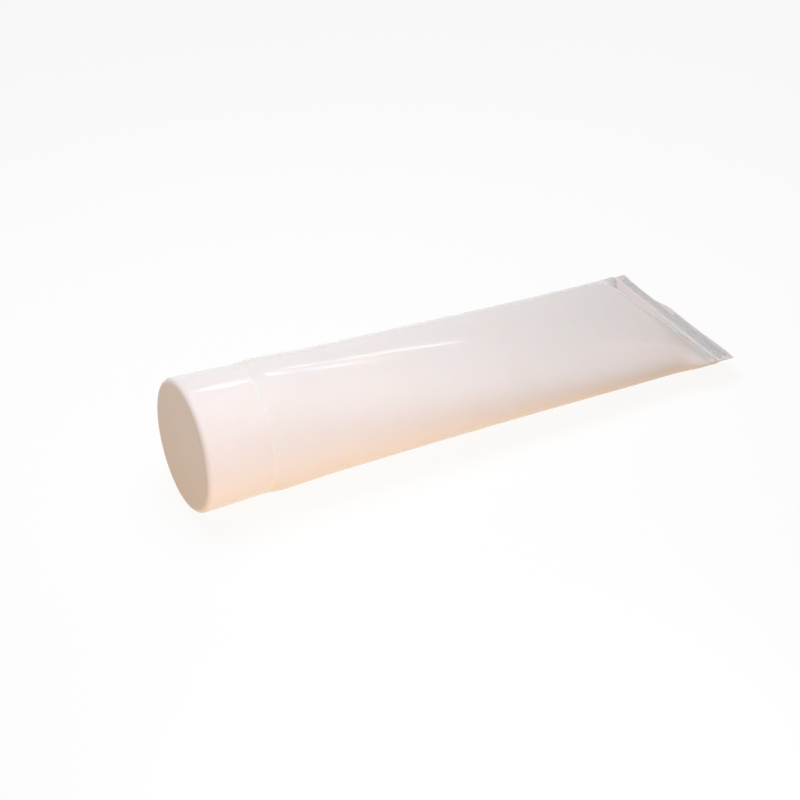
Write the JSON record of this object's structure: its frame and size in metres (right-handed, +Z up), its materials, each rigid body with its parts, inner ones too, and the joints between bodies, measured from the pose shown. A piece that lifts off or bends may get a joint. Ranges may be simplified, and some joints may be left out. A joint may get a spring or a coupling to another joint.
{
  "type": "grease tube",
  "caption": "Full plastic squeeze tube lying on its belly, with a flat crimped end and a flush screw cap that unscrews from a threaded neck.",
  "frame": {"origin": "on the floor, below the middle of the tube's length and width", "axes": "+X along the tube towards the crimped seal, +Z up, the belly resting on the floor"},
  "size_m": [0.1752, 0.0632, 0.0426],
  "materials": {
    "tube_plastic": "milky white polyethylene, softly glossy",
    "head_plastic": "moulded white polyethylene",
    "grease": "wet, translucent white",
    "cap_plastic": "moulded white polypropylene, glossy",
    "liner_foam": "fine closed-cell foam"
  },
  "bodies": {
    "tube": {"sleeve": "tube_plastic", "tube_head": "head_plastic", "grease_fill": "grease"},
    "liner": {"cap_liner": "liner_foam"},
    "cap": {"cap": "cap_plastic"}
  },
  "joints": [
    {"name": "cap_travel", "type": "slide", "parent": "tube", "child": "liner", "axis": [-0.9964, 0, 0.0843], "range_m": [0, 0.0121]},
    {"name": "cap_turn", "type": "hinge", "parent": "liner", "child": "cap", "pos_m": [-0.08596, 0, 0.02202], "axis": [-0.9964, 0, 0.0843], "range_deg": [0, 1080]}
  ],
  "couplings": [
    {"joint": "cap_travel", "follows": "cap_turn", "m_per_rad": 0.00063662}
  ]
}
